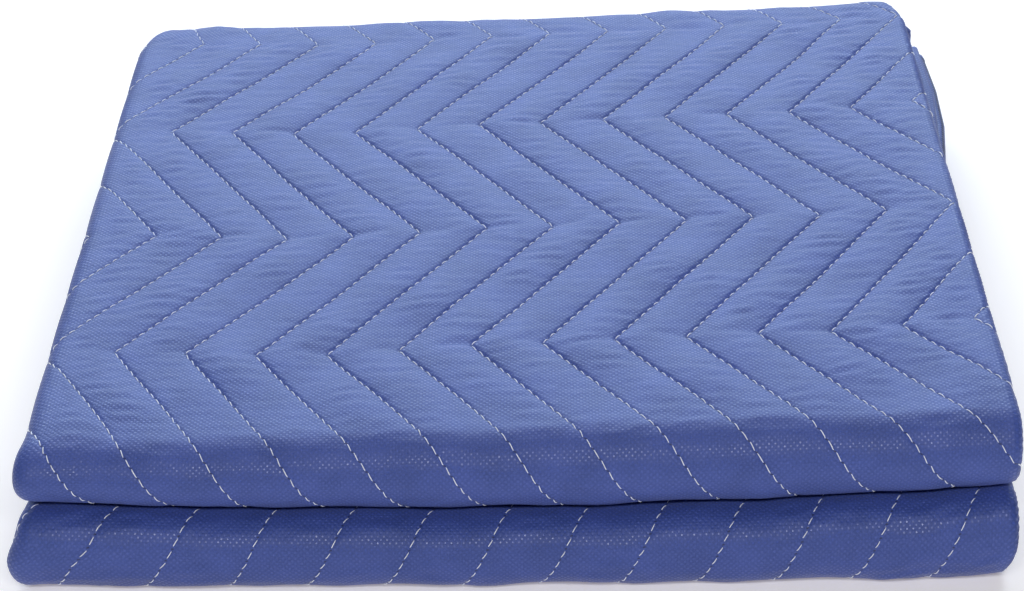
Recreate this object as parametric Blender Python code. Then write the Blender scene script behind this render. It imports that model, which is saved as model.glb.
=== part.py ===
"""Quilted moving blanket, folded into a thick pad and lying flat.

The blanket is one cloth. It is folded in four across its width, into a packet of four plies,
and the packet is folded in four along its length: both ends are turned in to the middle, and the
whole is then shut like a book. That gives two round folds at the front, one above the other, and
one large round fold at the back, with the same ply outside all the way round.

The cloth is laid out flat first, in its own sizes: u runs across it, v runs along it, and n goes
through its thickness. Two routes of straights and bends then carry it into its folds, and a last
step settles the stack as its own weight and the person who folded it left it.

Metres, +Z up. Front is -Y, right is +X, and the pad lies on Z = 0.
"""

import math

import bmesh
import bpy
import numpy as np

COLLECTION = "moving_blanket"

# ---- The folded pad, outside sizes at the middle of the stack ----
WIDTH = 0.456
LENGTH = 0.502
HEIGHT = 0.079

# ---- The cloth: two faces quilted onto a padding ----
PLY = 0.0044            # thickness between two stitch lines
PLY_GAP = 0.0005        # air between one ply and the next
HALF_GAP = 0.0005       # air between the lower and the upper half of the stack
FACE_DIP = 0.0014       # how deep a stitch line pulls the outer face in
PRESSED_DIP = 0.0008    # the same underneath, where the pad's weight presses it
BACK_DIP = 0.0008       # how far it pulls in the other face

# ---- The quilting: zigzag lines that run along the blanket, side by side ----
LINE_PITCH = 0.0344     # from one line to the next, across
LINE_FIRST = 0.0237     # where one line has a left-hand corner
SWING = 0.0750          # from its left-hand corners to its right-hand ones, across
SHOULDER = 0.27         # part of the pitch over which a puff rises beside its line

# Rows of corners along the outer ply, from the front fold's upper side over the top, round the
# back, along the underside and up the lower front fold. The shift is how far right of LINE_FIRST,
# and the spread how much wider than LINE_PITCH the lines lie there, about LINE_MIDDLE.
LINE_MIDDLE = 0.22
CORNER_ROWS = (
    # v, shift, spread
    (-0.166, 0.0, 1.033),
    (-0.058, 0.0846, 1.033),
    (0.072, 0.0, 1.0),
    (0.190, SWING, 1.0),
    (0.312, 0.0, 1.0),
    (0.429, SWING, 1.0),
    (0.548, 0.0, 1.0),
    (0.667, SWING, 1.0),
    (0.786, 0.0, 1.0),
    (0.905, SWING, 1.02),
    (1.024, -0.0042, 1.041),
    (1.143, 0.0523, 1.041),
)

# ---- The folds ----
UPPER_SET_BACK = 0.007      # the upper front fold lies this far behind the lower one
BACK_RADIUS = 0.028         # of both bends of the back, with a short upright stretch between
INNER_END = 0.002           # the turned-in ends stop this far short of the back bends
EDGE_SHORT = (0.0, 0.004)   # cut edges inside the right side: first and last ply
STEPS_FRONT = 8             # in each front fold
STEPS_BACK = 4              # in each bend of the back
STEPS_WRAP = 6              # bend of the outer ply at the left side
STEPS_TIGHT = 4             # bends of one ply onto the next

# ---- How the stack settled: heights of the front crease and of the top ----
STACK = (
    # side, crease, top
    ("left", 0.0425, 0.0725),
    ("middle", 0.0360, 0.0780),
    ("right", 0.0460, 0.0860),
)
FLARE_LEFT = (0.0045, 0.0095)   # left ends of the front folds stand out: upper, lower
ROUNDED = 0.016                 # the corners of the back draw in
STEP_RIGHT = 0.0165             # the lower plies stand out at the right, towards the back
SLUMP = 0.004                   # the foot of the lower front fold spreads forward
SQUARED = 0.10                  # its shoulder stands out from a true round by this part
DROOP = 0.0018                  # the top sags towards its front fold
TUCK_RIGHT = (0.0035, 0.0015)   # the foot's right-hand end draws in and lifts

BLUE = (0.085, 0.125, 0.400, 1.0)

# ---- Sizes that follow from those above ----
PLY_STEP = PLY + PLY_GAP
DEPTHS = tuple(PLY / 2 + k * PLY_STEP for k in range(4))
WRAP_RADIUS = (DEPTHS[3] - DEPTHS[0]) / 2
TIGHT_RADIUS = PLY_STEP / 2
LEFT_BEND = -WIDTH / 2 + PLY / 2 + WRAP_RADIUS
RIGHT_BEND = WIDTH / 2 - PLY / 2 - TIGHT_RADIUS
HALF_HEIGHT = (HEIGHT - HALF_GAP) / 2
FRONT_RADIUS = HALF_HEIGHT / 2
LOWER_FRONT = -LENGTH / 2 + FRONT_RADIUS
UPPER_FRONT = LOWER_FRONT + UPPER_SET_BACK
BACK_BEND = LENGTH / 2 - BACK_RADIUS
INNER_BACK = BACK_BEND - INNER_END

# Each route is a row of stretches: its name, its length and the angle that it turns through.
ACROSS = (
    # name, length, turn
    ("last ply", RIGHT_BEND - EDGE_SHORT[1] - LEFT_BEND, 0.0),
    ("left wrap", math.pi * WRAP_RADIUS, math.pi),
    ("outer ply", RIGHT_BEND - LEFT_BEND, 0.0),
    ("right bend", math.pi * TIGHT_RADIUS, math.pi),
    ("second ply", RIGHT_BEND - LEFT_BEND, 0.0),
    ("left bend", math.pi * TIGHT_RADIUS, -math.pi),
    ("third ply", RIGHT_BEND - EDGE_SHORT[0] - LEFT_BEND, 0.0),
)
ALONG = (
    # name, length, turn
    ("upper end", INNER_BACK - UPPER_FRONT, 0.0),
    ("upper front", math.pi * FRONT_RADIUS, -math.pi),
    ("top", BACK_BEND - UPPER_FRONT, 0.0),
    ("back upper bend", math.pi / 2 * BACK_RADIUS, -math.pi / 2),
    ("back", HEIGHT - 2 * BACK_RADIUS, 0.0),
    ("back lower bend", math.pi / 2 * BACK_RADIUS, -math.pi / 2),
    ("underside", BACK_BEND - LOWER_FRONT, 0.0),
    ("lower front", math.pi * FRONT_RADIUS, -math.pi),
    ("lower end", INNER_BACK - LOWER_FRONT, 0.0),
)
BEND_STEPS = {
    "left wrap": STEPS_WRAP,
    "right bend": STEPS_TIGHT,
    "left bend": STEPS_TIGHT,
    "upper front": STEPS_FRONT,
    "back upper bend": STEPS_BACK,
    "back lower bend": STEPS_BACK,
    "lower front": STEPS_FRONT,
}


def starts(route, zero):
    """Where each stretch of a route begins and ends, measured from the stretch named zero."""
    spans = {}
    begin = 0.0
    for name, length, _turn in route:
        spans[name] = (begin, begin + length)
        begin += length
    shift = spans[zero][0]
    return {name: (a - shift, b - shift) for name, (a, b) in spans.items()}


U = starts(ACROSS, "outer ply")
V = starts(ALONG, "top")
QUILT_U = (U["left wrap"][0], U["right bend"][1])
QUILT_V = (V["upper front"][0], V["lower front"][1])


def follow(route, spans, point, heading, distance):
    """Walk a route. Gives both coordinates and the heading at each distance along it."""
    first = point[0] + np.zeros_like(distance)
    second = point[1] + np.zeros_like(distance)
    angle = heading + np.zeros_like(distance)
    for name, length, turn in route:
        begin = spans[name][0]
        reached = (distance >= begin) | (name == route[0][0])
        travel = distance - begin
        if turn:
            radius = length / turn
            now = heading + travel / radius
            here = (
                point[0] + radius * (np.sin(now) - math.sin(heading)),
                point[1] - radius * (np.cos(now) - math.cos(heading)),
            )
            point = (
                point[0] + radius * (math.sin(heading + turn) - math.sin(heading)),
                point[1] - radius * (math.cos(heading + turn) - math.cos(heading)),
            )
        else:
            now = heading + np.zeros_like(distance)
            here = (
                point[0] + travel * math.cos(heading),
                point[1] + travel * math.sin(heading),
            )
            point = (
                point[0] + length * math.cos(heading),
                point[1] + length * math.sin(heading),
            )
        first = np.where(reached, here[0], first)
        second = np.where(reached, here[1], second)
        angle = np.where(reached, now, angle)
        heading += turn
    return first, second, angle


def ease(value, low, high):
    """0 below low, 1 above high, and a smooth rise between them."""
    t = np.clip((value - low) / (high - low), 0.0, 1.0)
    return t * t * (3.0 - 2.0 * t)


def stack_height(side, column):
    """Height from the STACK table at any place between left (-1) and right (1)."""
    left, middle, right = (row[column] for row in STACK)
    return middle + (right - left) / 2 * side + ((right + left) / 2 - middle) * side * side


def settle(x, y, z):
    """Move a point of the squared-up pad to where it came to rest."""
    over = np.clip(z - FRONT_RADIUS, 0.0, FRONT_RADIUS)
    out = np.clip(LOWER_FRONT - y, 0.0, None)
    slant = 2.0 * over * out / (over * over + out * out + 1e-12)
    stand = np.where(z < HEIGHT / 2, SQUARED * slant * slant, 0.0)
    y = y - out * stand
    z = z + over * stand
    side = x / (WIDTH / 2)
    crease = stack_height(side, 1)
    top = stack_height(side, 2)
    lower = z * crease / (HEIGHT / 2)
    upper = crease + (z - HEIGHT / 2) * (top - crease) / (HEIGHT / 2)
    front = 1.0 - ease(y, LOWER_FRONT - FRONT_RADIUS, LOWER_FRONT + FRONT_RADIUS)
    corner = np.clip((y - BACK_BEND + 0.018) / 0.046, 0.0, 1.0) ** 1.5
    left = ease(-side, 0.6, 1.0)
    right = ease(side, 0.6, 1.0)
    below = 1.0 - ease(z, 0.20 * HEIGHT, 0.40 * HEIGHT)
    under = 1.0 - ease(z, 0.66 * HEIGHT, 0.86 * HEIGHT)
    foot = np.clip(1.0 - z / (HEIGHT / 2), 0.0, 1.0) * (1.0 - 0.5 * side * side)
    x = x - left * front * (FLARE_LEFT[0] + (FLARE_LEFT[1] - FLARE_LEFT[0]) * below)
    x = x + (left - right * (1.0 - 0.5 * under)) * corner * ROUNDED
    x = x + right * ease(y, -0.02, 0.16) * under * STEP_RIGHT
    y = y - front * foot * SLUMP
    tuck = front * ease(side, 0.90, 1.0) * (1.0 - ease(z, 0.0, 0.28 * HEIGHT))
    x = x - tuck * TUCK_RIGHT[0]
    sag = 1.0 - ease(y, LOWER_FRONT - FRONT_RADIUS, LOWER_FRONT + 0.05)
    sag = sag * ease(z, 0.45 * HEIGHT, 0.80 * HEIGHT)
    z = np.where(z < HEIGHT / 2, lower, upper)
    return x, y, z - sag * DROOP + tuck * TUCK_RIGHT[1]


def fold(u, v, n):
    """Carry points of the flat cloth into the folded pad."""
    edge = (RIGHT_BEND - EDGE_SHORT[1], DEPTHS[3])
    x, depth, angle = follow(ACROSS, U, edge, math.pi, u)
    x = x + n * np.sin(angle)
    depth = depth - n * np.cos(angle)
    end = (INNER_BACK, (HEIGHT + HALF_GAP) / 2)
    y, z, angle = follow(ALONG, V, end, math.pi, v)
    y = y + depth * np.sin(angle)
    z = z - depth * np.cos(angle)
    return settle(x, y, z)


def lines_at(v):
    """How far right the stitch lines are at v, and how widely they are spread there."""
    places = [row[0] for row in CORNER_ROWS]
    shift = np.interp(v, places, [row[1] for row in CORNER_ROWS])
    spread = np.interp(v, places, [row[2] for row in CORNER_ROWS])
    return shift, spread


def puff(u, v):
    """0 on a stitch line, 1 between lines and wherever the cloth is hidden in the pad."""
    shift, spread = lines_at(v)
    place = LINE_MIDDLE + (u - shift - LINE_MIDDLE) / spread
    turn = (place - LINE_FIRST) / LINE_PITCH
    away = np.abs(turn - np.round(turn))
    rise = np.minimum(away / SHOULDER, 1.0)
    edge = 1e-5
    shown = (u > QUILT_U[0] + edge) & (u < QUILT_U[1] - edge)
    shown = shown & (v > QUILT_V[0] + edge) & (v < QUILT_V[1] - edge)
    return np.where(shown, rise, 1.0)


def score(bm, faces, point, direction):
    """Cut a straight line through some faces of the flat cloth."""
    parts = set(faces)
    for face in faces:
        parts.update(face.edges)
        parts.update(face.verts)
    across = (-direction[1], direction[0], 0.0)
    bmesh.ops.bisect_plane(
        bm,
        geom=list(parts),
        dist=2e-6,
        plane_co=(point[0], point[1], 0.0),
        plane_no=across,
    )


def faces_between(bm, low, high):
    """Faces whose middle lies in a rectangle of the flat cloth."""
    found = []
    for face in bm.faces:
        middle = face.calc_center_median()
        if low[0] < middle.x < high[0] and low[1] < middle.y < high[1]:
            found.append(face)
    return found


def bend_places(route, spans):
    """Where the cloth needs a fold line: both ends of every bend and steps through it."""
    places = []
    for name, _length, turn in route:
        if turn:
            low, high = spans[name]
            places.extend(np.linspace(low, high, BEND_STEPS[name] + 1))
    return places


def score_zigzags(bm):
    """Score every stitch line, and the shoulder on each side of it, on the ply that shows."""
    first = math.floor((QUILT_U[0] - 2 * SWING - LINE_FIRST) / LINE_PITCH)
    last = math.ceil((QUILT_U[1] + SWING - LINE_FIRST) / LINE_PITCH)
    pairs = zip(CORNER_ROWS, CORNER_ROWS[1:])
    for (v_low, shift_low, spread_low), (v_high, shift_high, spread_high) in pairs:
        low = (QUILT_U[0], max(v_low, QUILT_V[0]))
        high = (QUILT_U[1], min(v_high, QUILT_V[1]))
        for line in range(first, last + 1):
            for offset in (-SHOULDER, 0.0, SHOULDER):
                place = LINE_FIRST + (line + offset) * LINE_PITCH - LINE_MIDDLE
                begin = LINE_MIDDLE + place * spread_low + shift_low
                end = LINE_MIDDLE + place * spread_high + shift_high
                lean = (end - begin, v_high - v_low)
                score(bm, faces_between(bm, low, high), (begin, v_low), lean)


def flat_cloth():
    """The whole blanket laid out flat and scored, one face thick."""
    bm = bmesh.new()
    bmesh.ops.create_grid(bm, x_segments=1, y_segments=1, size=0.5)
    u_low, u_high = U["last ply"][0], U["third ply"][1]
    v_low, v_high = V["upper end"][0], V["lower end"][1]
    bmesh.ops.translate(bm, verts=bm.verts, vec=(0.5, 0.5, 0.0))
    bmesh.ops.scale(bm, verts=bm.verts, vec=(u_high - u_low, v_high - v_low, 1.0))
    bmesh.ops.translate(bm, verts=bm.verts, vec=(u_low, v_low, 0.0))
    for u in bend_places(ACROSS, U):
        score(bm, bm.faces[:], (u, 0.0), (0.0, 1.0))
    for v in bend_places(ALONG, V):
        score(bm, bm.faces[:], (0.0, v), (1.0, 0.0))
    for v, _shift, _spread in CORNER_ROWS:
        quilted = faces_between(bm, (QUILT_U[0], QUILT_V[0]), (QUILT_U[1], QUILT_V[1]))
        score(bm, quilted, (0.0, v), (1.0, 0.0))
    score_zigzags(bm)
    return bm


def make_blanket():
    """Thicken the flat cloth, fold it, and stand it on the origin."""
    bm = flat_cloth()
    bmesh.ops.triangulate(bm, faces=bm.faces[:])
    bmesh.ops.solidify(bm, geom=bm.faces[:], thickness=1.0)
    flat = np.array([vert.co for vert in bm.verts])
    u, v, level = flat.T
    face_side = level > level.mean()
    under = ease(v, *V["back lower bend"]) * (1.0 - ease(v, *V["lower front"]))
    dip = FACE_DIP + (PRESSED_DIP - FACE_DIP) * under
    flatness = 1.0 - puff(u, v)
    n = np.where(face_side, PLY / 2 - dip * flatness, BACK_DIP * flatness - PLY / 2)
    folded = np.stack(fold(u, v, n), axis=1)
    middle = (folded.min(axis=0) + folded.max(axis=0)) / 2
    folded -= (middle[0], middle[1], 0.0)
    for vert, place in zip(bm.verts, folded):
        vert.co = place
    bmesh.ops.recalc_face_normals(bm, faces=bm.faces[:])
    mesh = bpy.data.meshes.new("blanket")
    bm.to_mesh(mesh)
    bm.free()
    return bpy.data.objects.new("blanket", mesh)


def cloth_material():
    """Blue quilt cover cloth."""
    material = bpy.data.materials.new("quilted_nonwoven_cloth")
    material.use_nodes = True
    shader = material.node_tree.nodes["Principled BSDF"]
    shader.inputs["Base Color"].default_value = BLUE
    shader.inputs["Roughness"].default_value = 0.75
    return material


def main():
    for old in list(bpy.data.objects):
        bpy.data.objects.remove(old, do_unlink=True)
    collection = bpy.data.collections.new(COLLECTION)
    bpy.context.scene.collection.children.link(collection)
    blanket = make_blanket()
    blanket.data.materials.append(cloth_material())
    collection.objects.link(blanket)


main()
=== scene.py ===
# %% [markdown]
# # A quilted moving blanket, folded into a pad
# Movers wrap furniture in blankets like this one: a layer of padding between two covers of
# nonwoven cloth, held together by long zigzag lines of stitching. In store it is folded in four
# across, then in four along, and lies as a thick pad.
#
# Such cloth could be folded by a simulation, but sixteen plies that lie on each other are slow and
# hard to steer, and the pad has to keep to the folds of the solid blanket. So this lesson folds it
# by rule. Everything is made flat first, in the cloth's own sizes: u runs across the blanket, v
# along it and n through its thickness. Two routes of straights and bends then carry each point into
# the folds, so a stitch, a crease or a pressed dot stays where it belongs on the cloth, however
# often the cloth turns.

# %% Open the frame
import math

import bmesh
import bpy
import numpy as np
from mathutils import Matrix, Vector


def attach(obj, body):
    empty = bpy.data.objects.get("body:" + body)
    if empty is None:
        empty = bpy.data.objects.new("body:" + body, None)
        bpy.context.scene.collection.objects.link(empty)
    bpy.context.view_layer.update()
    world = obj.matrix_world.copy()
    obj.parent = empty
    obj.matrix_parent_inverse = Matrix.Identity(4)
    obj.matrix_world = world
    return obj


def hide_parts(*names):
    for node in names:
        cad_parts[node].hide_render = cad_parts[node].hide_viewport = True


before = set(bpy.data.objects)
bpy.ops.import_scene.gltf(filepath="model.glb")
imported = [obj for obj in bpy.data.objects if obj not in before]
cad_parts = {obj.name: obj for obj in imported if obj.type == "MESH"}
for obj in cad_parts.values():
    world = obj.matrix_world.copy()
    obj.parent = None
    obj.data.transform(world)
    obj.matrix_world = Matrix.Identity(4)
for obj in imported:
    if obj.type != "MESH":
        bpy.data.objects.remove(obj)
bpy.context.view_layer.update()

# %% [markdown]
# ## The cloth and its quilting in numbers
# These are the sizes of the solid blanket, so the visible one fits it. All the zigzags turn together
# at a row of corners, and run straight and slanting between two rows. A table of rows is the
# shortest way to write that down. Over the two front folds the lines lie a little wider apart, as
# the cloth is pulled round there: that is the last value of a row.

# %% Sizes of the pad, the cloth and the quilting, in metres
WIDTH = 0.456
LENGTH = 0.502
HEIGHT = 0.079
PLY = 0.0044
PLY_STEP = PLY + 0.0005     # from the middle of one ply to the next
HALF_GAP = 0.0005           # what parts the upper half of the pad from the lower
CENTRE = (0.0042, -0.0010)  # the middle of the settled pad, which goes on the origin

LINE_PITCH = 0.0344
LINE_FIRST = 0.0237
LINE_MIDDLE = 0.22          # the place that stays where it is when the lines spread
SWING = 0.0750              # how far a line swings right from one row of corners to the next
ROW_PITCH = 0.119           # how far apart two rows of corners usually are
STITCH = 0.0062             # from one needle hole to the next
CORNER_ROWS = (
    # v, how far right of LINE_FIRST, how much wider than LINE_PITCH the lines lie
    (-0.166, 0.0, 1.033), (-0.052, 0.0807, 1.033), (0.072, 0.0, 1.0), (0.190, SWING, 1.0),
    (0.312, 0.0, 1.0), (0.429, SWING, 1.0), (0.548, 0.0, 1.0), (0.667, SWING, 1.0),
    (0.786, 0.0, 1.0), (0.905, SWING, 1.02), (1.024, -0.0042, 1.041), (1.143, 0.0523, 1.041),
)
print(len(CORNER_ROWS), "rows of corners")

# %% [markdown]
# ## The routes of the folds
# A fold could be drawn as a curve, but a drawn curve doesn't say how long it is, and length is what
# cloth keeps. So a route is a row of stretches: a name, a length, and the angle that the cloth turns
# through there. One route goes across the blanket and makes a packet of four plies. The other takes
# the packet along, round the front folds and the back.

# %% Where the bends lie
DEPTHS = [PLY / 2 + k * PLY_STEP for k in range(4)]
WRAP_RADIUS = (DEPTHS[3] - DEPTHS[0]) / 2
TIGHT_RADIUS = PLY_STEP / 2
BACK_RADIUS = 0.028
LEFT_BEND = -WIDTH / 2 + PLY / 2 + WRAP_RADIUS
RIGHT_BEND = WIDTH / 2 - PLY / 2 - TIGHT_RADIUS
FRONT_RADIUS = (HEIGHT - HALF_GAP) / 4
LOWER_FRONT = -LENGTH / 2 + FRONT_RADIUS
UPPER_FRONT = LOWER_FRONT + 0.007       # the upper front fold lies this much further back
BACK_BEND = LENGTH / 2 - BACK_RADIUS
INNER_BACK = BACK_BEND - 0.002          # where the hidden ends of the cloth stop
EDGE_SHORT = 0.004                      # how far the cut edge stops before the right-hand bends
radii = (WRAP_RADIUS, TIGHT_RADIUS, BACK_RADIUS, FRONT_RADIUS)
print("bends, left wrap, tight ones, back and front, mm:", [round(1000 * r, 2) for r in radii])

# %% The two routes
ACROSS = (
    # name, length, turn
    ("last ply", RIGHT_BEND - EDGE_SHORT - LEFT_BEND, 0.0),
    ("left wrap", math.pi * WRAP_RADIUS, math.pi),
    ("outer ply", RIGHT_BEND - LEFT_BEND, 0.0),
    ("right bend", math.pi * TIGHT_RADIUS, math.pi),
    ("second ply", RIGHT_BEND - LEFT_BEND, 0.0),
    ("left bend", math.pi * TIGHT_RADIUS, -math.pi),
    ("third ply", RIGHT_BEND - LEFT_BEND, 0.0),
)
ALONG = (
    # name, length, turn
    ("upper end", INNER_BACK - UPPER_FRONT, 0.0),
    ("upper front", math.pi * FRONT_RADIUS, -math.pi),
    ("top", BACK_BEND - UPPER_FRONT, 0.0),
    ("back upper bend", math.pi / 2 * BACK_RADIUS, -math.pi / 2),
    ("back", HEIGHT - 2 * BACK_RADIUS, 0.0),
    ("back lower bend", math.pi / 2 * BACK_RADIUS, -math.pi / 2),
    ("underside", BACK_BEND - LOWER_FRONT, 0.0),
    ("lower front", math.pi * FRONT_RADIUS, -math.pi),
    ("lower end", INNER_BACK - LOWER_FRONT, 0.0),
)
print(len(ACROSS), "stretches across and", len(ALONG), "along")

# %% Measure the routes


def spans_of(route, zero):
    """Where each stretch of a route begins and ends, measured from the stretch named zero."""
    ends = np.cumsum([0.0] + [length for _name, length, _turn in route])
    names = [name for name, _length, _turn in route]
    shift = ends[names.index(zero)]
    return {name: (ends[k] - shift, ends[k + 1] - shift) for k, name in enumerate(names)}


U = spans_of(ACROSS, "outer ply")
V = spans_of(ALONG, "top")

# %% [markdown]
# ## Folding
# `follow` walks a route and says where a distance along it lands. It could take one point at a time,
# but the cloth has more than a hundred thousand, so it takes whole arrays of them at once.

# %% Walk a route
CUT_EDGE = (RIGHT_BEND - EDGE_SHORT, DEPTHS[3])     # where the route across begins
CUT_END = (INNER_BACK, (HEIGHT + HALF_GAP) / 2)     # where the route along begins


def follow(route, spans, point, heading, distance):
    """Both coordinates and the heading at each distance along a route."""
    first = point[0] + np.zeros_like(distance)
    second = point[1] + np.zeros_like(distance)
    angle = heading + np.zeros_like(distance)
    for name, length, turn in route:
        # The first stretch also takes what lies before it.
        reached = (distance >= spans[name][0]) | (name == route[0][0])
        travel = distance - spans[name][0]
        curve = turn / length
        now = heading + travel * curve
        if turn:
            a = point[0] + (np.sin(now) - math.sin(heading)) / curve
            b = point[1] - (np.cos(now) - math.cos(heading)) / curve
            end = (math.sin(heading + turn) - math.sin(heading),
                   math.cos(heading) - math.cos(heading + turn))
            point = (point[0] + end[0] / curve, point[1] + end[1] / curve)
        else:
            a = point[0] + travel * math.cos(heading)
            b = point[1] + travel * math.sin(heading)
            point = (point[0] + length * math.cos(heading),
                     point[1] + length * math.sin(heading))
        first = np.where(reached, a, first)
        second = np.where(reached, b, second)
        angle = np.where(reached, now, angle)
        heading += turn
    return first, second, angle


x, depth, _angle = follow(ACROSS, U, CUT_EDGE, math.pi, np.array([0.0]))
print("the outer ply begins at", round(1000 * x[0], 1), "mm, deep", round(1000 * depth[0], 1), "mm")

# %% [markdown]
# ## Settling
# Nobody folds a blanket true. This one came to rest thicker at its right, with the ends of its
# front folds flared at the left, its corners drawn in, and its top plies laid a little short at the
# right of the back. Each of these is one gentle push on the squared-up pad, which fades in and out
# with `ease`, so the plies move together and never cut through each other.

# %% How far the stack leans, and where
STACK = (
    # side, height of the front crease, height of the top
    ("left", 0.0425, 0.0725),
    ("middle", 0.0360, 0.0780),
    ("right", 0.0460, 0.0860),
)
FLARE_LEFT = (0.0045, 0.0095)   # how far the front folds stand out: upper, lower
ROUNDED = 0.016             # how far the back corners draw in
CORNER_START = 0.205        # the y where they begin to
CORNER_DEEP = 0.046         # and how far behind it they are drawn in fully
STEP_RIGHT = 0.0165         # how far the lower plies stand out at the right of the back
STEP_ALONG = (-0.02, 0.16)  # the y where they begin to, and where they fully do
SLUMP = 0.004               # how far the foot of the lower front fold spreads
SQUARED = 0.10              # how far its shoulder stands out from a true round, as a part
TUCK_RIGHT = (0.0035, 0.0015)   # how far the foot's right-hand end draws in and lifts
DROOP = 0.0018              # how far the top sags towards its front fold
SAG_BEHIND = 0.05           # how far behind the fold's middle it ends
SIDE_PART = (0.6, 1.0)      # where the push of a side grows, as parts of half the width
TUCK_PART = (0.90, 1.0)     # where the tuck does
LOWER_PLIES = (0.66 * HEIGHT, 0.86 * HEIGHT)    # where the lower plies give way to the top ones
LOWER_FOLD = (0.20 * HEIGHT, 0.40 * HEIGHT)     # where the lower fold's flare gives way
SAG_HEIGHTS = (0.45 * HEIGHT, 0.80 * HEIGHT)    # where the sag grows
TUCK_HEIGHT = 0.28 * HEIGHT                     # where the tuck has faded out
TINY = 1e-12                # keeps a division from being by zero
print("the right is higher than the left by", round(1000 * (STACK[2][2] - STACK[0][2]), 1), "mm")

# %% Settle a point


def ease(value, low, high):
    """0 below low, 1 above high, and a smooth rise between them."""
    t = np.clip((value - low) / (high - low), 0.0, 1.0)
    return t * t * (3.0 - 2.0 * t)


def stack_height(side, column):
    """A height from STACK at any place from the left, -1, to the right, 1."""
    left, middle, right = (row[column] for row in STACK)
    return middle + (right - left) / 2 * side + ((right + left) / 2 - middle) * side * side


def square_the_shoulder(y, z):
    """Push the front of the lower fold out between its top and its foremost point."""
    over = np.clip(z - FRONT_RADIUS, 0.0, FRONT_RADIUS)
    out = np.clip(LOWER_FRONT - y, 0.0, None)
    slant = 2.0 * over * out / (over * over + out * out + TINY)
    stand = np.where(z < HEIGHT / 2, SQUARED * slant * slant, 0.0)
    return y - out * stand, z + over * stand


def settle(x, y, z):
    """Move a point of the squared-up pad to where it came to rest."""
    y, z = square_the_shoulder(y, z)
    side = x / (WIDTH / 2)
    crease = stack_height(side, 1)
    top = stack_height(side, 2)
    lower = z * crease / (HEIGHT / 2)
    upper = crease + (z - HEIGHT / 2) * (top - crease) / (HEIGHT / 2)
    front = 1.0 - ease(y, LOWER_FRONT - FRONT_RADIUS, LOWER_FRONT + FRONT_RADIUS)
    left = ease(-side, *SIDE_PART)
    right = ease(side, *SIDE_PART)
    under = 1.0 - ease(z, *LOWER_PLIES)
    below = 1.0 - ease(z, *LOWER_FOLD)
    corner = np.clip((y - CORNER_START) / CORNER_DEEP, 0.0, 1.0) ** 1.5
    # The foot slumps half as far at the sides, and at the right the lower plies draw in half as far.
    foot = np.clip(1.0 - z / (HEIGHT / 2), 0.0, 1.0) * (1.0 - 0.5 * side * side)
    x = x - left * (FLARE_LEFT[0] + (FLARE_LEFT[1] - FLARE_LEFT[0]) * below) * front
    x = x + (left - right * (1.0 - 0.5 * under)) * corner * ROUNDED
    x = x + right * STEP_RIGHT * ease(y, *STEP_ALONG) * under
    y = y - SLUMP * foot * front
    tuck = front * ease(side, *TUCK_PART) * (1.0 - ease(z, 0.0, TUCK_HEIGHT))
    x = x - tuck * TUCK_RIGHT[0]
    sag = 1.0 - ease(y, LOWER_FRONT - FRONT_RADIUS, LOWER_FRONT + SAG_BEHIND)
    sag = sag * ease(z, *SAG_HEIGHTS)
    z = np.where(z < HEIGHT / 2, lower, upper) - sag * DROOP + tuck * TUCK_RIGHT[1]
    return x - CENTRE[0], y - CENTRE[1], z


ends = np.array([-0.5, 0.0, 0.5]) * WIDTH
heights = settle(ends, 0.0 * ends, HEIGHT + 0.0 * ends)[2]
print("height at the left, the middle and the right, mm:", [round(1000 * h, 1) for h in heights])

# %% Fold a point


def fold(u, v, n):
    """Carry points of the flat cloth into the folded pad: an array of places."""
    x, depth, angle = follow(ACROSS, U, CUT_EDGE, math.pi, u)
    x = x + n * np.sin(angle)
    depth = depth - n * np.cos(angle)
    y, z, angle = follow(ALONG, V, CUT_END, math.pi, v)
    y = y + depth * np.sin(angle)
    z = z - depth * np.cos(angle)
    return np.stack(settle(x, y, z), axis=-1)


corner = fold(np.array([0.0]), np.array([0.0]), np.array([PLY / 2]))[0]
print("front left of the top, mm:", [round(1000 * c, 1) for c in corner])

# %% [markdown]
# ## The lie of the quilting
# The quilting frame never runs quite true, so the rows of corners wander a few millimetres across
# the blanket. Each stitch line pulls the cover down between two puffs. Because the line is shorter
# than the cloth it gathers, the cover puckers: small soft ridges run across, strongest beside the
# folded edges, and a crease leaves the point of nearly every corner. They could be sculpted one by
# one, but that would take days. So waves of seeded sizes make the puckers and a rule places the
# creases: uneven, yet the same on every run.

# %% Where the rows wander
WANDER = (
    # u, how far the pattern lies back
    (-0.100, 0.0000), (0.010, 0.0060), (0.045, 0.0029), (0.075, -0.0001), (0.100, -0.0031),
    (0.127, -0.0035), (0.155, -0.0008), (0.195, 0.0012), (0.235, 0.0010), (0.270, 0.0018),
    (0.305, 0.0023), (0.340, 0.0022), (0.370, 0.0009), (0.402, 0.0034), (0.436, 0.0061),
    (0.600, 0.0010),
)
STRAIGHT_END = 0.1          # how much of the upper end lies straight


def wander(u):
    """How far back the quilting lies at u, smoothly between the rows of WANDER."""
    places = np.array([row[0] for row in WANDER])
    values = np.array([row[1] for row in WANDER])
    index = np.clip(np.searchsorted(places, u) - 1, 0, len(places) - 2)
    share = ease(u, places[index], places[index + 1])
    return values[index] + (values[index + 1] - values[index]) * share


def within(value, up, down):
    """0, then 1 from a smooth slope up to a smooth slope down, then 0 again."""
    return ease(value, *up) * (1.0 - ease(value, *down))


def held_back(v):
    """1 where the quilting wanders, 0 at the ends, which are cut straight."""
    return within(v, (V["upper end"][0] + STRAIGHT_END, V["upper front"][0]), V["underside"])


print("the rows wander by up to", round(1000 * max(back for _u, back in WANDER), 1), "mm")

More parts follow.
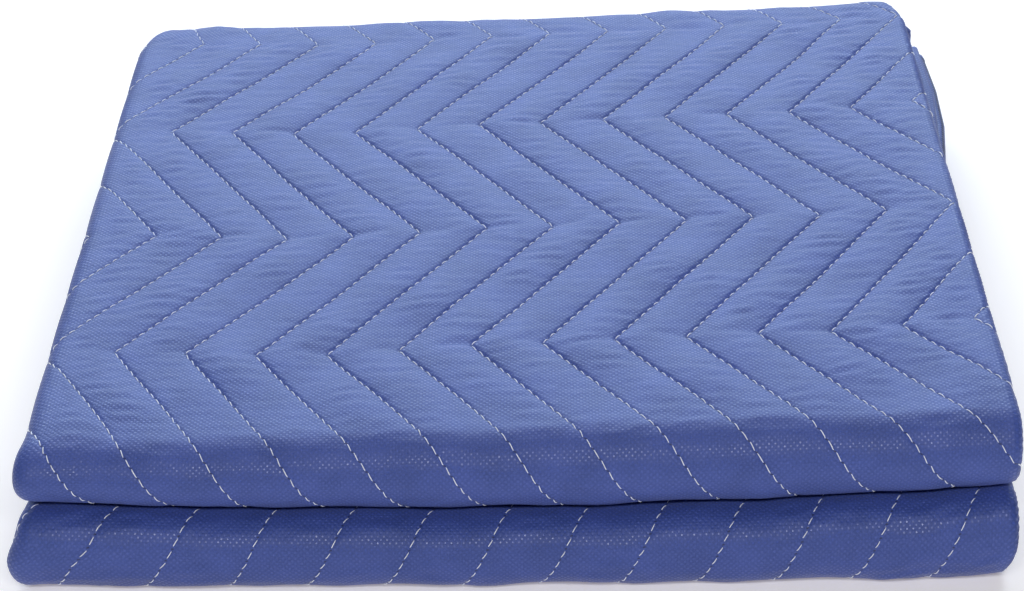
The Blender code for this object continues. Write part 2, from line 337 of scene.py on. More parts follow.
# %% The waves of the puckers, and a size for every crease
FINE_COUNT, BROAD_COUNT = 26, 8
CREASE_LINES = 32           # lines with creases of their own; after these, their sizes come again
random = np.random.default_rng(72)
WAVES = [
    # across, along (radians per metre), start
    (random.normal(0.0, 190.0), 2 * math.pi / random.uniform(0.0060, 0.0120), random.uniform(0, 7))
    for _ in range(FINE_COUNT)
]
BROAD = [
    (2 * math.pi / random.uniform(0.05, 0.16), 2 * math.pi / random.uniform(0.05, 0.14),
     random.uniform(0, 7))
    for _ in range(BROAD_COUNT)
]
CREASES = random.uniform(0.0, 1.0, size=(len(CORNER_ROWS), CREASE_LINES, 3))  # depth, lean, reach
print(len(WAVES), "fine waves and", len(BROAD), "broad ones")

# %% Where the cloth is seen, slack or pressed
# Each pair is a slope up, then a slope down.
SEEN_ACROSS = ((-0.030, -0.020), (0.450, 0.460))
SEEN_ALONG = ((-0.075, -0.055), (1.068, 1.085))
SLACK_ACROSS = ((-0.002, 0.030), (0.415, 0.445))
SLACK_ALONG = ((-0.010, 0.050), (0.390, 0.435))
FOOT_RISE = (0.990, 1.026)  # where the cloth leaves the ground at the foot of the front


def shown(u, v):
    """1 on the outer ply and its bends, 0 where the cloth is hidden in the pad."""
    return within(u, *SEEN_ACROSS) * within(v, *SEEN_ALONG)


def taut(u, v):
    """1 round the folds and the folded edges, where the bend pulls the puffs flat."""
    return 1.0 - within(u, *SLACK_ACROSS) * within(v, *SLACK_ALONG)


def pressed(v):
    """1 on the underside, where the pad's own weight flattens the puffs."""
    return within(v, V["back lower bend"], FOOT_RISE)


print("seen of the cloth, across and along, m:",
      [round(span[1][1] - span[0][0], 3) for span in (SEEN_ACROSS, SEEN_ALONG)])

# %% Puckers
PUCKER = 0.00016            # height of the ridges
PUCKER_AT_EDGE = 0.00016    # added beside the folded edges
PUCKER_UNEVEN = 0.00008     # added or taken with the broad waves
SWELL = 0.00030             # height of the broad waves
EDGE_ACROSS = ((0.02, 0.09), (0.35, 0.42))          # away from the edges between these slopes
BEND_ACROSS = ((-0.006, 0.010), (0.430, 0.446))     # no puckers on the bends outside these
PULLED_SMOOTH = 0.6         # how much of the edge puckers the front fold pulls out
PULLED_ALONG = (0.010, 0.060)                       # where that fades out, along the cloth


def puckers(u, v):
    """Soft ridges that run across the cloth, gathered at the folded edges."""
    wave = sum(np.cos(a * u + b * v + start) for a, b, start in WAVES) / math.sqrt(len(WAVES))
    broad = sum(np.cos(a * u + start) * np.cos(b * v + start) for a, b, start in BROAD)
    edge = 1.0 - within(u, *EDGE_ACROSS)
    smooth = PULLED_SMOOTH * (1.0 - ease(v, *PULLED_ALONG)) * edge
    strength = PUCKER + PUCKER_AT_EDGE * edge + PUCKER_UNEVEN * np.clip(broad, -1.0, 1.0)
    return (strength * (1.0 - smooth) * wave + SWELL * broad) * within(u, *BEND_ACROSS)


print("ridges, mm:", round(1000 * PUCKER, 2), "and, beside the edges,",
      round(1000 * (PUCKER + PUCKER_AT_EDGE), 2))

# %% Creases at the corners
CREASE_HALF_WIDTH = 0.0020
CREASE_DEPTH = (0.00020, 0.00065)       # the least, and how much more the deepest have
CREASE_LEAN = 0.5                       # how much the slants of two creases can differ
CREASE_RISE = (-0.004, 0.004)           # half as deep at the corner itself, whole soon after it
CREASE_FADES = 0.010                    # how far from the corner it begins to fade
CREASE_REACH = (0.018, 0.016)           # the shortest, and how much further the longest go


def tip_creases(turn, v, row_v):
    """A trough from the point of each corner towards the next line."""
    level = np.zeros_like(v)
    for row, (place, shift, _spread) in enumerate(CORNER_ROWS):
        # A corner that points right has its crease on its right, and one that points left, left.
        line = np.floor(turn) if shift > SWING / 2 else np.ceil(turn)
        away = np.abs(turn - line) * LINE_PITCH
        depth, lean, reach = (CREASES[row, line.astype(int) % CREASE_LINES, k] for k in range(3))
        middle = place + (lean - 0.5) * CREASE_LEAN * away
        across = np.exp(-(((row_v - middle) / CREASE_HALF_WIDTH) ** 2))
        end = CREASE_REACH[0] + CREASE_REACH[1] * reach
        fade = within(away, CREASE_RISE, (CREASE_FADES, end))
        level -= (CREASE_DEPTH[0] + CREASE_DEPTH[1] * depth) * across * fade
    return level


print("the deepest crease, mm:", round(1000 * sum(CREASE_DEPTH), 2))

# %% How high the cover lies above the middle of its ply
LINE_SLOPE = ROW_PITCH / math.hypot(ROW_PITCH, SWING)   # from a distance along u to one across a line
GROOVE_WIDTH = 0.0008
GROOVE_DEPTH = 0.00075
DIP_TAUT = 0.0004           # from the middle of a puff down to a line, where the cloth is taut
DIP_SLACK = 0.0012          # added where it is slack
GROOVE_TAUT = 0.5           # how much of the groove is left where it is taut
UNEVEN_AT_LINE = 0.35       # how much of the puckers and creases is left on a stitch line


def cover_level(turn, u, v, row_v):
    """Height of the outer cover over the middle of the ply; turn counts the stitch lines."""
    away = np.abs(turn - np.round(turn))
    puff = 1.0 - (1.0 - 2.0 * away) ** 2.0
    groove = np.exp(-((away * LINE_PITCH * LINE_SLOPE / GROOVE_WIDTH) ** 2))
    free = shown(u, v) * (1.0 - pressed(v))
    slack = 1.0 - taut(u, v)
    dip = DIP_TAUT + DIP_SLACK * free * slack
    groove = groove * free * (GROOVE_TAUT + (1.0 - GROOVE_TAUT) * slack)
    eased = UNEVEN_AT_LINE + (1.0 - UNEVEN_AT_LINE) * puff
    uneven = (puckers(u, v) + tip_creases(turn, v, row_v)) * free * eased
    return PLY / 2 - dip * (1.0 - puff) - GROOVE_DEPTH * groove + uneven


print("a slack puff over its stitch line, mm:",
      round(1000 * (DIP_TAUT + DIP_SLACK + GROOVE_DEPTH), 2))

# %% [markdown]
# ## The outer cover
# A grid is the right mesh for one cloth, but a square grid would cut across the slanting stitch
# lines and make them jagged. So the grid's columns are laid along the zigzag: close together beside
# a line of stitching, wider over a puff. Where no look reaches, deep between the folds, the columns
# run straight on, so that few rows are enough there. Two UV maps go with the mesh: the cloth's own
# metres, and the count of stitch lines and stitches.

# %% Columns of the grid
# Parts of the way from one stitch line to the next.
STRIP = (0.0, 0.015, 0.035, 0.07, 0.13, 0.22, 0.34, 0.45, 0.55, 0.66, 0.78, 0.87, 0.93, 0.965, 0.985)
BETWEEN = (0.10, 0.175, 0.28, 0.395, 0.50, 0.605, 0.72, 0.825)     # more, where the sides bend
FIRST_LINE, LAST_LINE = -4, 13
BENT_LINES = (-4, -3, -2, -1, 9, 10, 11, 12)    # these pass over the bends at the sides
STRAIGHT_FROM = U["left bend"][0] - 0.02    # from here on the columns keep to the cut edge


def rule(first, *stretches):
    """Places from first on; each stretch is where it ends and about how far apart they are."""
    places = [first]
    for end, step in stretches:
        count = max(1, round((end - places[-1]) / step))
        places.extend(np.linspace(places[-1], end, count + 1)[1:])
    return np.array(places)


quilt = [LINE_FIRST + (line + part) * LINE_PITCH for line in range(FIRST_LINE, LAST_LINE)
         for part in sorted(STRIP + BETWEEN * (line in BENT_LINES))]
quilt.append(LINE_FIRST + LAST_LINE * LINE_PITCH)
left_part = rule(U["last ply"][0], (quilt[0], 0.05))[:-1]
right_part = rule(quilt[-1], (U["left bend"][0], 0.05), (U["left bend"][1], 0.0013),
                  (U["third ply"][1], 0.09))[1:]
COLUMNS = np.concatenate([left_part, quilt, right_part])
FOLLOWS = np.concatenate([      # 1 where a column follows the zigzag, 0 where it runs straight
    np.linspace(0.0, 1.0, len(left_part) + 1)[:-1],
    np.ones(len(quilt)),
    np.clip((STRAIGHT_FROM - right_part) / (STRAIGHT_FROM - quilt[-1]), 0, 1),
])
print(len(COLUMNS), "columns")

# %% Rows of the grid


def with_corner_rows(places):
    """Move the nearest place onto each row of corners, where the stitch lines turn."""
    for v, _shift, _spread in CORNER_ROWS:
        if places[0] < v < places[-1]:
            places[np.argmin(np.abs(places - v))] = v
    return places


SPLIT = V["underside"][0] + 0.030           # where the upper part of the cover meets the lower
UPPER_ROWS = with_corner_rows(rule(
    V["upper end"][0], (V["upper front"][0] - 0.02, 0.05), (V["upper front"][0], 0.005),
    (V["upper front"][1], 0.0018), (V["top"][1], 0.00218), (V["underside"][0], 0.0036),
    (SPLIT, 0.006)))
LOWER_ROWS = with_corner_rows(rule(
    SPLIT, (V["underside"][1] - 0.02, 0.006), (V["underside"][1], 0.003),
    (V["lower front"][1], 0.0016), (V["lower front"][1] + 0.02, 0.005),
    (V["lower end"][1], 0.05)))
print(len(UPPER_ROWS), "and", len(LOWER_ROWS), "rows")

# %% Count stitch lines and stitches
IN_SIGHT = (-0.060, 1.082)      # the stretch of v that a look into the folds can reach


def line_place(place, v):
    """Where a line that starts at place has swung to at v."""
    places = [row[0] for row in CORNER_ROWS]
    shift = np.interp(v, places, [row[1] for row in CORNER_ROWS])
    spread = np.interp(v, places, [row[2] for row in CORNER_ROWS])
    return LINE_MIDDLE + (place - LINE_MIDDLE) * spread + shift


def stitch_count(v):
    """Whole stitches from the first row of corners to v, along any one line."""
    places = np.array([row[0] for row in CORNER_ROWS])
    legs = np.hypot(np.diff(places), np.diff([row[1] for row in CORNER_ROWS]))
    return np.interp(v, places, np.concatenate([[0.0], np.cumsum(np.round(legs / STITCH))]))


print("stitches from the front of the top to its back:",
      int(stitch_count(V["top"][1]) - stitch_count(0.0)))

# %% Make a grid


def smooth_grid(name, places, cloth_uv, seam_uv):
    """A grid mesh through rows and columns of places, smooth, with its two UV maps."""
    rows, columns = places.shape[:2]
    bm = bmesh.new()
    bmesh.ops.create_grid(bm, x_segments=columns - 1, y_segments=rows - 1, size=1.0)
    mesh = bpy.data.meshes.new(name)
    bm.to_mesh(mesh)
    bm.free()
    mesh.vertices.foreach_set("co", places.reshape(-1, 3).astype(np.float32).ravel())
    corners = np.empty(len(mesh.loops), dtype=np.int32)
    mesh.loops.foreach_get("vertex_index", corners)
    for title, values in (("cloth", cloth_uv), ("seams", seam_uv)):
        layer = mesh.uv_layers.new(name=title)
        layer.data.foreach_set("uv", values.reshape(-1, 2)[corners].astype(np.float32).ravel())
    mesh.shade_smooth()
    piece = bpy.data.objects.new(name, mesh)
    bpy.context.scene.collection.objects.link(piece)
    print(name, 2 * len(mesh.polygons), "triangles")
    return piece


# %% Make the outer cover, in two parts


def make_cover(name, rows):
    """The outer cover between the first and the last of some rows."""
    row_v = np.repeat(rows[:, None], len(COLUMNS), axis=1)
    swung = line_place(COLUMNS, np.clip(row_v, *IN_SIGHT))
    u = COLUMNS + FOLLOWS * (swung - COLUMNS)
    v = row_v + wander(u) * held_back(row_v)
    turn = np.broadcast_to((COLUMNS - LINE_FIRST) / LINE_PITCH, u.shape)
    places = fold(u, v, cover_level(turn, u, v, row_v))
    seams = np.stack([turn, stitch_count(row_v)], axis=-1)
    return smooth_grid(name, places, np.stack([u, v], axis=-1), seams)


cover_upper = make_cover("outer_cover_upper", UPPER_ROWS)
cover_lower = make_cover("outer_cover_lower", LOWER_ROWS)

# %% [markdown]
# ## The inner cover and the cut edges
# The other cover is hidden but for its edges, in the open side of the packets. It could be a copy
# of the outer one, turned over, but it needs only enough rows to bend with the plies. Its border
# turns up round the cut edge and tucks in under the outer cover, as a hem would.

# %% Make the inner cover
INSET = 0.001               # how far inside the outer cover's edge it ends, before the hem
# The inner cover gets none of the painted shade of the needle holes.
UNQUILTED = 0.5             # half way between two lines and two stitches, so no needle hole shows
HEM = (
    # how far past the edge, level as a part of half the ply
    (0.0003, -0.85), (0.0010, -0.45), (0.0012, 0.0), (0.0010, 0.45), (0.0002, 0.85), (-0.003, 0.80),
)


def hemmed(places):
    """Places and levels of a row, with the hem's steps added at both ends."""
    low = [(places[0] - out, part) for out, part in reversed(HEM)]
    high = [(places[-1] + out, part) for out, part in HEM]
    both = low + [(place, -1.0) for place in places] + high
    return np.array([b[0] for b in both]), np.array([b[1] for b in both])


inner_u = rule(U["last ply"][0] + INSET, (U["left wrap"][0], 0.06), (U["left wrap"][1], 0.0024),
               (U["outer ply"][1], 0.06), (U["right bend"][1], 0.0010), (U["left bend"][0], 0.06),
               (U["left bend"][1], 0.0010), (U["third ply"][1] - INSET, 0.06))
inner_v = rule(V["upper end"][0] + INSET, (V["upper front"][0], 0.06),
               (V["upper front"][1], 0.002), (V["top"][1], 0.06), (V["back"][0], 0.005),
               (V["back"][1], 0.012), (V["underside"][0], 0.005), (V["underside"][1], 0.06),
               (V["lower front"][1], 0.002), (V["lower end"][1] - INSET, 0.06))
u_places, u_parts = hemmed(inner_u)
v_places, v_parts = hemmed(inner_v)
level = np.maximum(u_parts[None, :], v_parts[:, None]) * PLY / 2
grid_u, grid_v = np.meshgrid(u_places, v_places)
inner_cover = smooth_grid("inner_cover", fold(grid_u, grid_v, level),
                          np.stack([grid_u, grid_v], axis=-1),
                          np.full(grid_u.shape + (2,), UNQUILTED))
inner_cover.data.flip_normals()

# %% [markdown]
# ## The quilting thread
# A lockstitch shows as a row of short dashes, each rising from one needle hole and dipping into
# the next. They could be drawn in the material, but a dash of real thread has a round back that
# catches the light and throws a shadow. They could also be thousands of curves, but those are slow
# to handle. So every dash is a small tube that lies a little aslant, laid along its line in the
# cloth's own sizes and folded with it, and all of them are one mesh, made from one array of rings.

# %% Lay the stitches along their lines
ROUND_RIGHT = 0.002         # how far past the right-hand bend they still show


def stitch_ends():
    """Line number and v of each stitch's two ends, over all that shows."""
    counts = np.arange(math.ceil(stitch_count(IN_SIGHT[0])),
                       math.floor(stitch_count(IN_SIGHT[1])) + 1)
    fine = np.arange(CORNER_ROWS[0][0], CORNER_ROWS[-1][0], 0.0002)
    holes = np.interp(counts, stitch_count(fine), fine)
    line, low = np.meshgrid(np.arange(FIRST_LINE, LAST_LINE + 1), holes[:-1])
    line, high = np.meshgrid(np.arange(FIRST_LINE, LAST_LINE + 1), holes[1:])
    middle = line_place(LINE_FIRST + line * LINE_PITCH, (low + high) / 2)
    keep = (middle > U["left wrap"][0]) & (middle < U["right bend"][1] + ROUND_RIGHT)
    return line[keep], low[keep], high[keep]


line, low, high = stitch_ends()
print(len(line), "stitches show")

# %% Sizes of a stitch
THREAD = 0.00026            # radius
THIN_ENDS = 0.45            # its thickness at the ends of a stitch, as a part
FLATTENED = 0.85            # its height over its width
RINGS = 6
SIDES = 5
# Where a stitch begins and ends between its needle holes, as parts of the way: the least, what is
# added where its line swings right, and how much that varies.
START = (0.02, 0.09, 0.08)
END = (0.92, -0.07, 0.07)
SUNK = 0.00035              # how far a stitch's ends lie in their needle holes
RISE = (0.00085, 0.00010)   # height of its arch, and how much that varies
SLANT = (0.00035, 0.00015)  # how far it lies across its line at each end, and how much that varies
print("the thread is", round(2000 * THREAD, 2), "mm thick")

# %% Shape every stitch


def stitch_rings(line, low, high):
    """The points of every stitch: an array by stitch, ring and side."""
    count = len(line)
    random = np.random.default_rng(31)
    place = LINE_FIRST + line * LINE_PITCH
    swing = line_place(place, high) - line_place(place, low)
    rightward = swing > 0.0
    start = START[0] + START[1] * rightward + START[2] * random.random(count)
    end = END[0] + END[1] * rightward + END[2] * random.random(count)
    slant = random.normal(*SLANT, count)
    rise = random.normal(*RISE, count)
    step = np.linspace(0.0, 1.0, RINGS)[None, :]
    along = start[:, None] + (end - start)[:, None] * step
    row_v = low[:, None] + (high - low)[:, None] * along
    arch = np.sin(math.pi * step) ** 0.7
    round_off = np.sin(math.pi * (0.06 + 0.88 * step)) ** 0.6
    radius = THREAD * (THIN_ENDS + (1.0 - THIN_ENDS) * round_off)
    side = slant[:, None] * (step - 0.5) * 2.0
    lean = np.stack([swing, high - low], axis=-1)
    lean /= np.linalg.norm(lean, axis=-1, keepdims=True)
    angle = np.linspace(0.0, 2 * math.pi, SIDES, endpoint=False)[None, None, :]
    out = side[:, :, None] + radius[:, :, None] * np.cos(angle)
    up = radius[:, :, None] * np.sin(angle) * FLATTENED
    u = line_place(place[:, None], row_v)[:, :, None]
    v = row_v[:, :, None] + 0.0 * angle
    turn = np.round(line)[:, None, None] + 0.0 * v
    level = v + wander(u) * held_back(v)
    base = cover_level(turn, u + 0.0 * v, level, v)
    n = base + (rise[:, None] * arch - SUNK)[:, :, None] + up
    u = u + out * lean[:, 1][:, None, None]
    v = level - out * lean[:, 0][:, None, None]
    return fold(u, v, n)


rings = stitch_rings(line, low, high)
print(rings.shape[0] * RINGS, "rings of", SIDES, "points")

# %% Join the stitches in one mesh


def make_thread(name, rings):
    """One mesh of small tubes, closed at both ends, a stitch each."""
    count = len(rings)
    ring = np.arange(SIDES)
    quad = np.stack([ring, (ring + 1) % SIDES, (ring + 1) % SIDES + SIDES, ring + SIDES], axis=-1)
    quads = (quad[None] + SIDES * np.arange(RINGS - 1)[:, None, None]).reshape(-1, 4)
    block = RINGS * SIDES
    quads = (quads[None] + block * np.arange(count)[:, None, None]).reshape(-1, 4)
    cap = np.stack([ring[::-1], ring + block - SIDES])
    caps = (cap[None] + block * np.arange(count)[:, None, None]).reshape(-1, SIDES)
    mesh = bpy.data.meshes.new(name)
    mesh.from_pydata(rings.reshape(-1, 3).tolist(), [], quads.tolist() + caps.tolist())
    mesh.shade_smooth()
    piece = bpy.data.objects.new(name, mesh)
    bpy.context.scene.collection.objects.link(piece)
    print(name, sum(len(p.vertices) - 2 for p in mesh.polygons), "triangles")
    return piece


thread = make_thread("quilting_thread", rings)

# %% [markdown]
# ## Colours and a way to build materials
# Colours are written as they look on a screen, in sRGB hex, and turned to the linear values that
# the renderer works in. One small function adds a node, sets it and links it.

# %% Colour and node helpers


def linear(code):
    """An sRGB hex colour as linear red, green, blue and alpha."""
    parts = [int(code[k:k + 2], 16) / 255 for k in (1, 3, 5)]
    return [p / 12.92 if p <= 0.04045 else ((p + 0.055) / 1.055) ** 2.4 for p in parts] + [1.0]


def node(tree, kind, settings=None, inputs=None, out=0):
    """Add a node with settings and inputs, a value or a link each; gives one of its outputs."""
    made = tree.nodes.new(kind)
    for key, value in (settings or {}).items():
        setattr(made, key, value)
    for key, value in (inputs or {}).items():
        if isinstance(value, bpy.types.NodeSocket):
            tree.links.new(value, made.inputs[key])
        else:
            made.inputs[key].default_value = value
    return made.outputs[out]


def new_material(name):
    """An empty Principled material: itself, its node tree and its shader."""
    material = bpy.data.materials.new(name)
    material.use_nodes = True
    return material, material.node_tree, material.node_tree.nodes["Principled BSDF"]


print("middle grey on a screen, in linear light:", round(linear("#808080")[0], 3))

# %% [markdown]
# ## The cover: spunbond polypropylene, point-bonded
# The covers of plain moving blankets are a felt of fine plastic fibres, spun straight into a web.
# Hot rollers weld the web at a lattice of small points. The fibres between them scatter light like
# cloth, with a faint mottle where they lie thicker. The welded points are pressed in, smoother, and
# glint where a light is mirrored, some less than others, because no roller presses quite evenly.
# An image of real cloth could be laid on, but patterns worked out from the cloth's own metres stay
# sharp at any distance, show no seams, and turn with every fold.

# %% Sizes of the cloth's patterns, in millimetres
BOND_PITCH_MM = 2.8         # between the welds of a row; rows are half as far apart, and staggered
FIBRE_MM = 0.909            # a single fibre, 0.02, is too fine to show, so it is drawn this coarse
WELD_UNEVEN_MM = 3.03       # how far apart good and poor welds lie
CRUMPLE_MM = 4.35           # from one small dent of handling to the next
MOTTLE_MM = 22.2            # from thick to thin places in the web
THIN_WEB = "#2d4389"
THICK_WEB = "#475caf"
# painted shade: the dark inside of each needle hole is painted in this colour
PAINTED_HOLE_SHADE = "#101736"
print("welds to a square centimetre:", round(200 / BOND_PITCH_MM ** 2))

# %% The lattice of welds, and the painted shade of the needle holes
# Sockets 1 to 4 of a Map Range are what comes in, from and to, and what goes out, from and to.


def wave_of(tree, value, pitch_mm):
    """Cosine of a place in metres, with a pitch in millimetres."""
    turns = node(tree, "ShaderNodeMath", {"operation": "MULTIPLY"},
                 {0: value, 1: 2000 * math.pi / pitch_mm})
    return node(tree, "ShaderNodeMath", {"operation": "COSINE"}, {0: turns})


def welds(tree, cloth):
    """1 at the middle of a well-pressed weld, less in a poor one, 0 between them."""
    split = node(tree, "ShaderNodeSeparateXYZ", None, {0: cloth}).node
    lattice = node(tree, "ShaderNodeMath", {"operation": "MULTIPLY"},
                   {0: wave_of(tree, split.outputs[0], BOND_PITCH_MM),
                    1: wave_of(tree, split.outputs[1], BOND_PITCH_MM)})
    point = node(tree, "ShaderNodeMapRange", {"interpolation_type": "SMOOTHSTEP"},
                 {0: lattice, 1: 0.10, 2: 0.65, 3: 0.0, 4: 1.0})
    pressure = node(tree, "ShaderNodeTexNoise", None,
                    {"Vector": cloth, "Scale": 1000 / WELD_UNEVEN_MM, "Detail": 1.0,
                     "Roughness": 0.5})
    pressure = node(tree, "ShaderNodeMapRange", None,
                    {0: pressure, 1: 0.35, 2: 0.60, 3: 0.55, 4: 1.0})
    return node(tree, "ShaderNodeMath", {"operation": "MULTIPLY"}, {0: point, 1: pressure})


def needle_hole_shade_mask(tree, seams):
    """1 at every whole stitch of every line, where a needle went through: there the shade inside the
    hole is painted.
    """
    split = node(tree, "ShaderNodeSeparateXYZ", None, {0: seams}).node
    parts = []
    for output, size in ((split.outputs[0], LINE_PITCH * LINE_SLOPE), (split.outputs[1], STITCH)):
        near = node(tree, "ShaderNodeMath", {"operation": "PINGPONG"}, {0: output, 1: 0.5})
        away = node(tree, "ShaderNodeMath", {"operation": "MULTIPLY"}, {0: near, 1: 1000 * size})
        parts.append(node(tree, "ShaderNodeMath", {"operation": "POWER"}, {0: away, 1: 2.0}))
    square = node(tree, "ShaderNodeMath", {"operation": "ADD"}, {0: parts[0], 1: parts[1]})
    return node(tree, "ShaderNodeMapRange", {"interpolation_type": "SMOOTHSTEP"},
                {0: square, 1: 0.05, 2: 0.45, 3: 0.7, 4: 0.0})


print("needle holes to a metre of stitching:", round(1 / STITCH))

# %% Colour and relief of the cloth


def web_colour(tree, cloth, fibre, bond):
    """Blue that is darker where the web is thin and lighter on the welds."""
    mottle = node(tree, "ShaderNodeTexNoise", None,
                  {"Vector": cloth, "Scale": 1000 / MOTTLE_MM, "Detail": 3.0, "Roughness": 0.55})
    tone = node(tree, "ShaderNodeMath", {"operation": "MULTIPLY"}, {0: fibre, 1: 0.62})
    tone = node(tree, "ShaderNodeMath", {"operation": "MULTIPLY_ADD"}, {0: mottle, 1: 0.35, 2: tone})
    tone = node(tree, "ShaderNodeMath", {"operation": "MULTIPLY_ADD"}, {0: bond, 1: 0.15, 2: tone})
    return node(tree, "ShaderNodeMapRange", {"data_type": "FLOAT_VECTOR"},
                {6: tone, 7: (0.37,) * 3, 8: (0.73,) * 3,
                 9: linear(THIN_WEB)[:3], 10: linear(THICK_WEB)[:3]}, out=1)


def web_relief(tree, cloth, fibre, bond):
    """A bumped normal: fuzzy between the welds, pressed in at them, and dented by handling.

    The bump's distance is a millimetre, so the heights below are parts of one.
    """
    loose = node(tree, "ShaderNodeMath", {"operation": "MULTIPLY_ADD"}, {0: bond, 1: -0.18, 2: 0.20})
    fuzz = node(tree, "ShaderNodeMath", {"operation": "MULTIPLY"}, {0: fibre, 1: loose})
    height = node(tree, "ShaderNodeMath", {"operation": "MULTIPLY_ADD"}, {0: bond, 1: -0.11, 2: fuzz})
    crumple = node(tree, "ShaderNodeTexNoise", None,
                   {"Vector": cloth, "Scale": 1000 / CRUMPLE_MM, "Detail": 2.0, "Roughness": 0.5})
    height = node(tree, "ShaderNodeMath", {"operation": "MULTIPLY_ADD"},
                  {0: crumple, 1: 0.30, 2: height})
    return node(tree, "ShaderNodeBump", None, {"Strength": 0.8, "Distance": 0.001, "Height": height})


print("thick web, in linear light:", [round(part, 3) for part in linear(THICK_WEB)[:3]])

# %% Spunbond polypropylene


def spunbond_polypropylene():
    """The cover cloth: matt fibres, with welds that glint."""
    material, tree, shader = new_material("spunbond_polypropylene_point_bonded")
    cloth = node(tree, "ShaderNodeUVMap", {"uv_map": "cloth"})
    seams = node(tree, "ShaderNodeUVMap", {"uv_map": "seams"})
    bond = welds(tree, cloth)
    fibre = node(tree, "ShaderNodeTexNoise", None,
                 {"Vector": cloth, "Scale": 1000 / FIBRE_MM, "Detail": 2.0, "Roughness": 0.7})
    # Painted shade: at each needle hole the cloth is mixed to a near-black blue.
    colour = node(tree, "ShaderNodeMix", {"data_type": "RGBA"},
                  {"Factor": needle_hole_shade_mask(tree, seams), 6: web_colour(tree, cloth, fibre, bond),
                   7: linear(PAINTED_HOLE_SHADE)}, out=2)
    rough = node(tree, "ShaderNodeMapRange", None, {0: bond, 3: 0.62, 4: 0.31})
    tree.links.new(colour, shader.inputs["Base Color"])
    tree.links.new(rough, shader.inputs["Roughness"])
    tree.links.new(web_relief(tree, cloth, fibre, bond), shader.inputs["Normal"])
    shader.inputs["IOR"].default_value = 1.49                   # polypropylene
    shader.inputs["Specular IOR Level"].default_value = 0.6     # a little more, for the welds
    shader.inputs["Sheen Weight"].default_value = 0.10          # loose ends of fibre
    shader.inputs["Sheen Roughness"].default_value = 0.5
    return material


cover_cloth = spunbond_polypropylene()
print("cover cloth:", len(cover_cloth.node_tree.nodes), "nodes")

# %% [markdown]
# ## The thread: bonded polyester
# Quilting thread is twisted polyester, bonded with a thin coat so that it runs through the needle.
# That gives it an even off-white and a dull shine, like wax. Its twist could be drawn with a bump,
# but on a thread of half a millimetre that is too fine to show, so plain values are enough, and the
# round form of each stitch does the rest.

# %% Bonded polyester


def bonded_polyester():
    """The thread: an even off-white with a dull shine."""
    material, _tree, shader = new_material("bonded_polyester_thread")
    shader.inputs["Base Color"].default_value = linear("#eff3ff")
    shader.inputs["Roughness"].default_value = 0.4
    shader.inputs["Sheen Weight"].default_value = 0.3
    return material


thread_material = bonded_polyester()
for piece in (cover_upper, cover_lower, inner_cover):
    piece.data.materials.append(cover_cloth)
thread.data.materials.append(thread_material)
print("thread:", thread_material.name)

# %% [markdown]
# ## What each piece is
# The covers and the thread ride on the one body and stand for the solid blanket. Each cover is a
# sheet. The outer one could be a single mesh, but it is in two parts that meet under the pad, so that
# neither has too many faces to handle.

for piece in (cover_upper, cover_lower, inner_cover, thread):
    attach(piece, "root")
    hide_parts("blanket")

# %% [markdown]
# ## Floor
# With the main light behind it, the pad throws a soft shade over the floor in front, and a white
# floor turns grey there. A second light on the floor could lift it, but would lift the folds too.
# Studios lay the goods on a light table, a sheet of opal acrylic that glows from below. The glow
# here is weak, because even that lights the folds a little from underneath.

# %% Light table and surroundings
FLOOR_HALF = 6.0
FLOOR_LOW = 0.0002          # how far it lies below the ground that the solid stands on


def stage_floor():
    """A wide sheet of opal acrylic under the pad."""
    bm = bmesh.new()
    bmesh.ops.create_grid(bm, x_segments=1, y_segments=1, size=FLOOR_HALF)
    mesh = bpy.data.meshes.new("floor")
    bm.to_mesh(mesh)
    bm.free()
    floor = bpy.data.objects.new("floor", mesh)
    floor.location.z = -FLOOR_LOW
    bpy.context.scene.collection.objects.link(floor)
    material, _tree, shader = new_material("opal_acrylic_light_table")
    shader.inputs["Base Color"].default_value = linear("#f4f4f4")
    shader.inputs["Roughness"].default_value = 0.9
    shader.inputs["Specular IOR Level"].default_value = 0.0
    shader.inputs["Emission Color"].default_value = linear("#fff4ec")
    shader.inputs["Emission Strength"].default_value = 0.27
    mesh.materials.append(material)
    return floor


floor = stage_floor()
world = bpy.data.worlds.new("studio")
bpy.context.scene.world = world
world.use_nodes = True
world.node_tree.nodes["Background"].inputs["Color"].default_value = linear("#ffffff")
world.node_tree.nodes["Background"].inputs["Strength"].default_value = 0.04
bpy.context.scene.view_settings.view_transform = "Standard"
print("floor at", round(1000 * floor.location.z, 1), "mm")

# %% [markdown]
# ## Light
# The main light is a wide softbox behind the pad, low enough to graze its top: the puffs are bright
# on their far slopes, shade falls into the stitch lines, and the front folds stand in shadow. A
# second softbox above fills the shade, so that it doesn't go black. A narrow strip in front draws a
# band of glints from the welds along both front folds. It could stand lower, but then it would look
# into the crease between them, which has to stay dark.

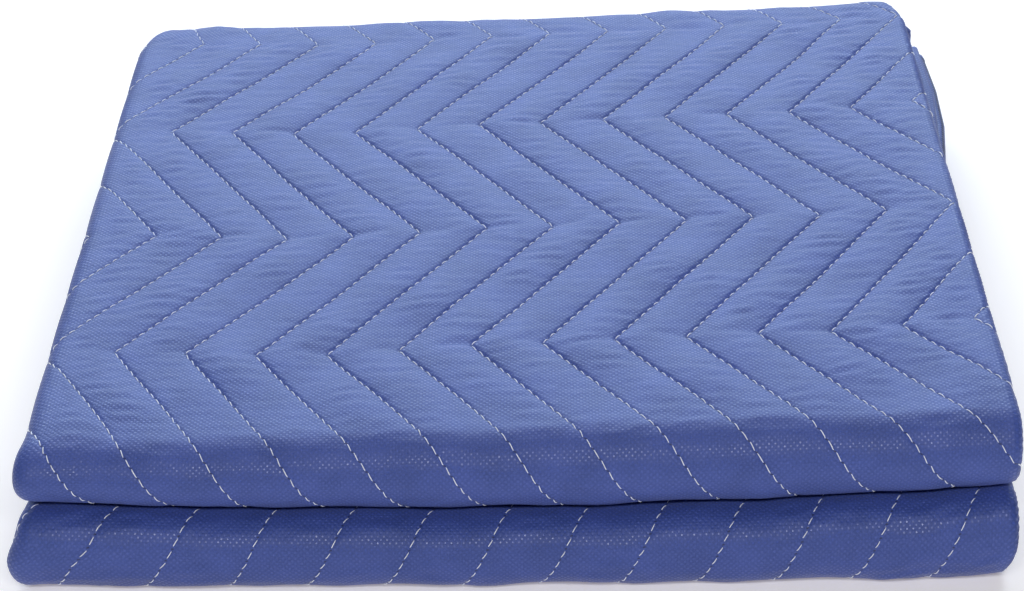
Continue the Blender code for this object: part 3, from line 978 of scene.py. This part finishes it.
# %% Lights
LIGHTS = (
    # name, place, aim, width, height, watts, colour
    ("back_softbox", (0.0, 2.30, 1.25), (0.0, 0.0, 0.05), 3.0, 1.2, 72.0, "#cfe8ff"),
    ("top_softbox", (0.0, 1.00, 2.30), (0.0, 0.0, 0.05), 2.6, 1.2, 28.0, "#ffffff"),
    ("front_strip", (0.0, -2.10, 1.72), (0.0, -0.25, 0.05), 1.8, 0.28, 33.0, "#ffffff"),
)


def softbox(name, place, aim, width, height, watts, colour):
    """A rectangular area light that faces its aim."""
    lamp = bpy.data.lights.new(name, "AREA")
    lamp.shape = "RECTANGLE"
    lamp.size, lamp.size_y, lamp.energy = width, height, watts
    lamp.color = linear(colour)[:3]
    light = bpy.data.objects.new(name, lamp)
    light.location = place
    light.rotation_euler = (Vector(aim) - Vector(place)).to_track_quat("-Z", "Y").to_euler()
    bpy.context.scene.collection.objects.link(light)


for row in LIGHTS:
    softbox(*row)
print(len(LIGHTS), "lights")

# %% [markdown]
# ## Camera
# The camera looks down at about thirty degrees, so the top and the front folds both show. A short
# lens close by would make the front loom, so it is a long one from more than a metre away.

# %% Camera
AIM = Vector((-0.0075, -0.0997, 0.0739))
ELEVATION = math.radians(29.64)
TURN = math.radians(-0.813)
TILT = math.radians(-1.047)
DISTANCE = 1.338
IMAGE_PIXELS = 1024         # across
FOCAL_PIXELS = 2700.0       # the lens, in the same pixels
SENSOR_MM = 36.0

camera = bpy.data.objects.new("camera", bpy.data.cameras.new("camera"))
camera.data.sensor_width = SENSOR_MM
camera.data.lens = FOCAL_PIXELS / IMAGE_PIXELS * SENSOR_MM
turned = (Matrix.Rotation(-TURN, 4, "Z") @ Matrix.Rotation(math.pi / 2 - ELEVATION, 4, "X")
          @ Matrix.Rotation(TILT, 4, "Z"))
camera.matrix_world = Matrix.Translation(AIM) @ turned @ Matrix.Translation((0, 0, DISTANCE))
bpy.context.scene.collection.objects.link(camera)
bpy.context.scene.camera = camera
print("lens, mm:", round(camera.data.lens, 1))
